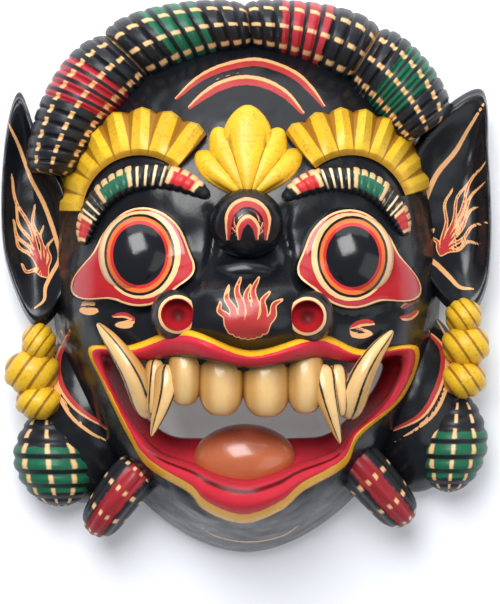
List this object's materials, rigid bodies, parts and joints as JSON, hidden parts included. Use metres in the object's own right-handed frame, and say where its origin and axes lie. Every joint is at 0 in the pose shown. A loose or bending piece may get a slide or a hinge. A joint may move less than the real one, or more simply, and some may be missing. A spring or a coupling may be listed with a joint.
{
  "type": "barong mask",
  "caption": "Carved and painted wooden barong mask with bulging eyes, tusks, an open mouth and rolled hair, hollow behind, worn over a face or hung as decoration.",
  "frame": {"origin": "on the plane of the back rim, under the middle of the mask's outline", "axes": "+X to the right of the face as it is looked at, +Y towards the crown, +Z out of the face"},
  "size_m": [0.1799, 0.2048, 0.0808],
  "materials": {
    "painted_wood": "gloss black lacquer with red, cream, green and gold paint; bare wood behind"
  },
  "bodies": {
    "root": {"mask": "painted_wood"}
  },
  "joints": []
}
